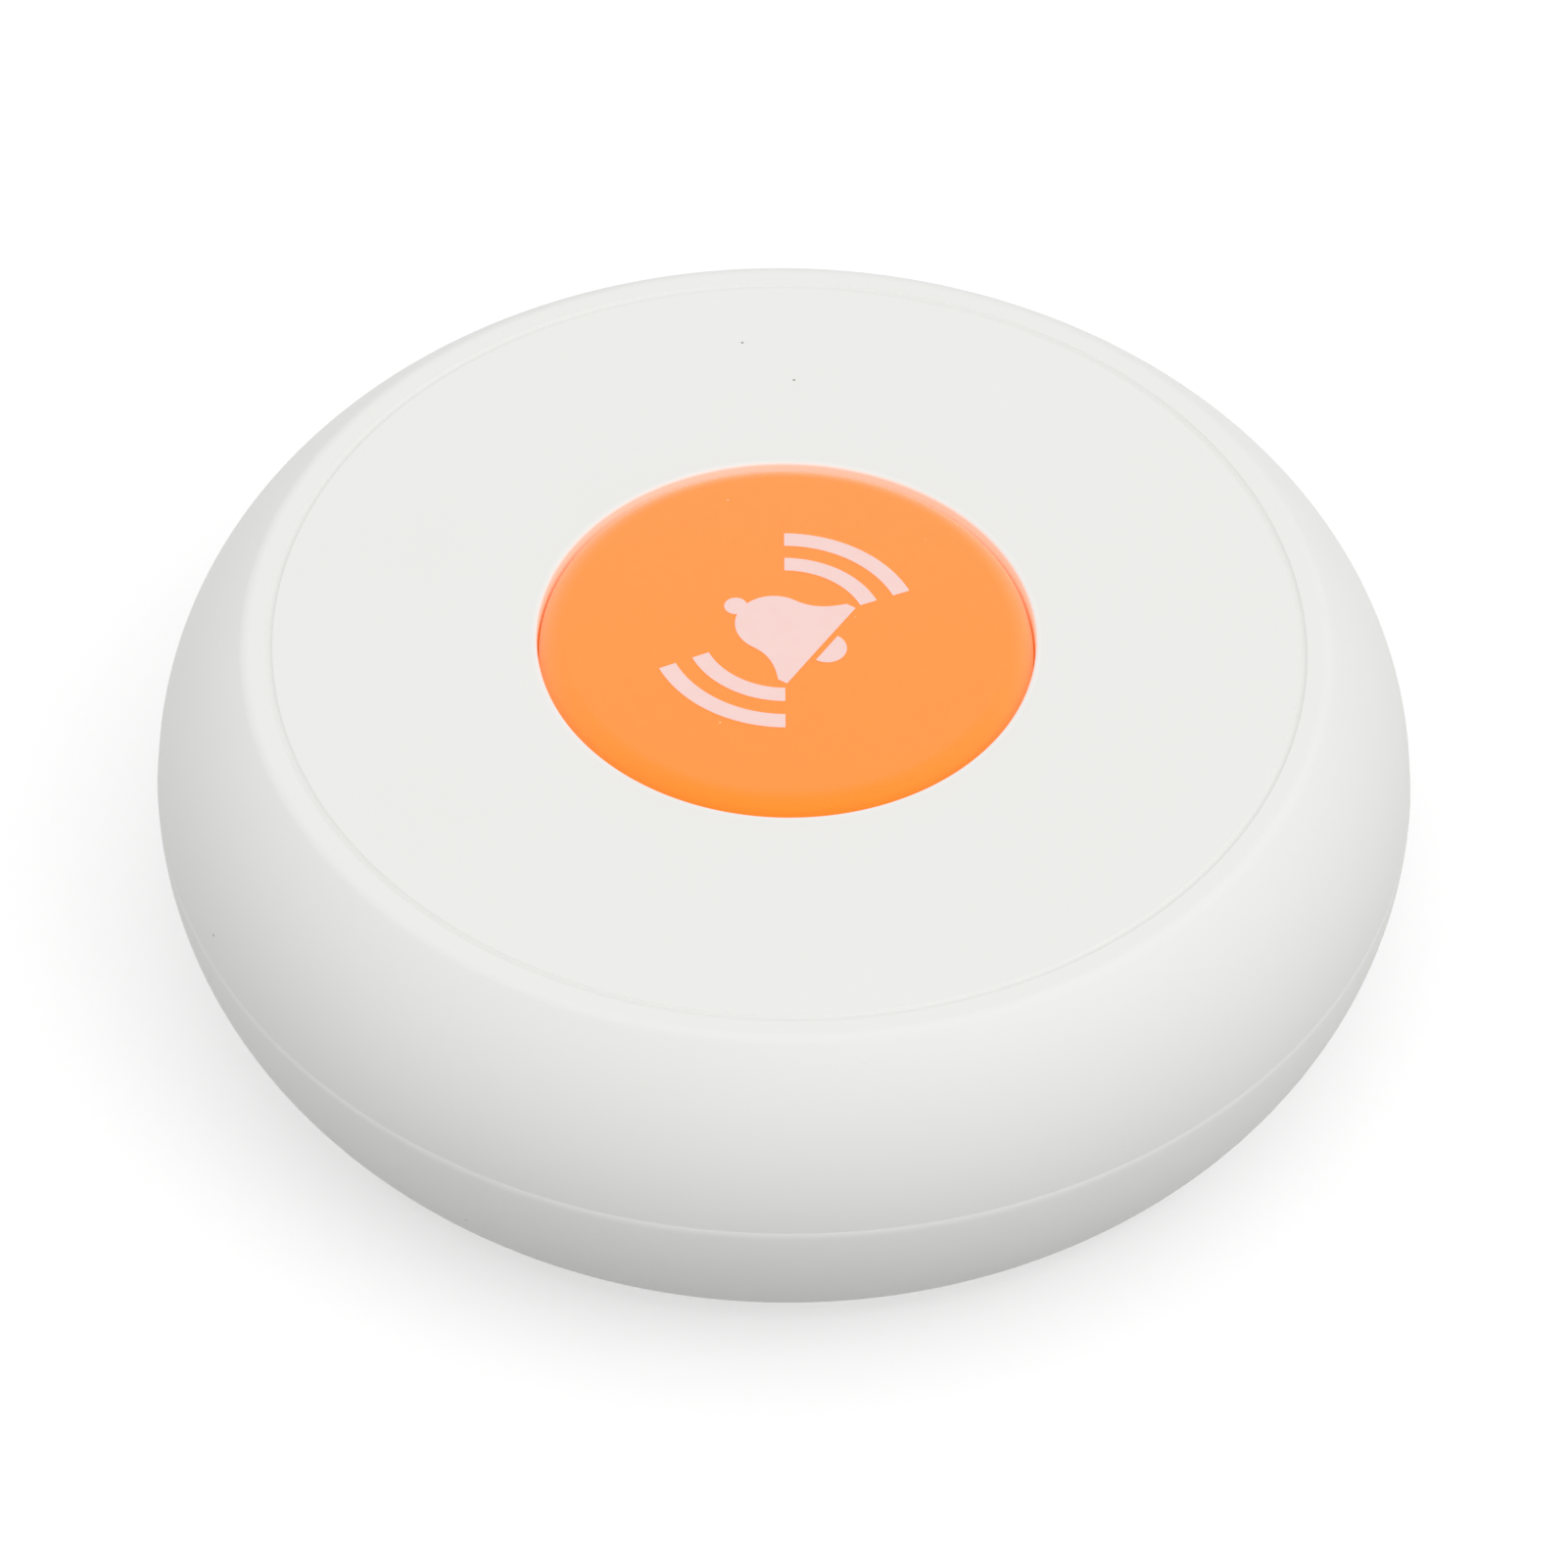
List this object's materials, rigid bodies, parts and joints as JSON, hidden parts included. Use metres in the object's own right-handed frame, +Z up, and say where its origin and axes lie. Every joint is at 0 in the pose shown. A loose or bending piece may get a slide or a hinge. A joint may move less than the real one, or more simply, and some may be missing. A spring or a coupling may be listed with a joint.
{
  "type": "emergency call button",
  "caption": "Round two-shell counter-top call button with a sprung central push cap, sealed tact switch, radio board, coin cell and a coin-slot battery door.",
  "frame": {"origin": "on the counter, under the centre of the housing, level with the bottom of the feet", "axes": "+Z up through the middle of the push button; -Y is the side seen at the front of the picture"},
  "size_m": [0.06, 0.06, 0.0194],
  "materials": {
    "white_shell": "satin moulded, very fine grain",
    "orange_cap": "matt soft-touch moulded",
    "foot_rubber": "matt",
    "seal_rubber": "smooth",
    "clear_silicone": "translucent, smooth",
    "black_plastic": "moulded",
    "board_laminate": "green solder mask",
    "chip_resin": "moulded resin",
    "chip_ceramic": "fired ceramic",
    "light_resin": "clear resin on white",
    "plated_steel": "zinc plated",
    "spring_steel": "tinned, bright",
    "cell_steel": "nickel plated, fine turned lines",
    "copper_wire": "bare copper",
    "printed_ink": "pale screen-printed ink"
  },
  "bodies": {
    "housing": {"top_cover": "white_shell", "base_cover": "white_shell", "case_gasket": "seal_rubber", "case_screws": "plated_steel", "rubber_feet": "foot_rubber", "seal_membrane": "clear_silicone", "inner_frame": "black_plastic", "circuit_board": "board_laminate", "board_screws": "plated_steel", "switch_body": "black_plastic", "switch_plate": "spring_steel", "switch_terminals": "spring_steel", "switch_dome": "spring_steel", "radio_board": "board_laminate", "radio_chip": "chip_resin", "radio_shield": "spring_steel", "antenna_coil": "copper_wire", "controller_chip": "chip_resin", "crystal": "spring_steel", "status_light": "light_resin", "chip_capacitors": "chip_ceramic", "chip_resistors": "chip_resin", "battery_holder": "black_plastic", "positive_contact": "spring_steel", "negative_contact": "spring_steel", "cell_can": "cell_steel", "cell_gasket": "black_plastic", "cell_lid": "cell_steel"},
    "button": {"button_cap": "orange_cap"},
    "plunger": {"switch_plunger": "black_plastic"},
    "door": {"battery_door": "white_shell", "door_seal": "seal_rubber"}
  },
  "joints": [
    {"name": "button_press", "type": "slide", "parent": "housing", "child": "button", "axis": [0, 0, -1], "range_m": [0, 0.0006], "stiffness_N_per_m": 3000, "springref_m": -0.0003, "deforming": ["seal_membrane"]},
    {"name": "plunger_press", "type": "slide", "parent": "housing", "child": "plunger", "axis": [0, 0, -1], "range_m": [0, 0.00028], "deforming": ["switch_dome"]},
    {"name": "door_twist", "type": "hinge", "parent": "housing", "child": "door", "pos_m": [0, 0, 0.002], "axis": [0, 0, -1], "range_deg": [0, 40]}
  ],
  "couplings": [
    {"joint": "plunger_press", "follows": "button_press", "ratio": 0.4666}
  ]
}
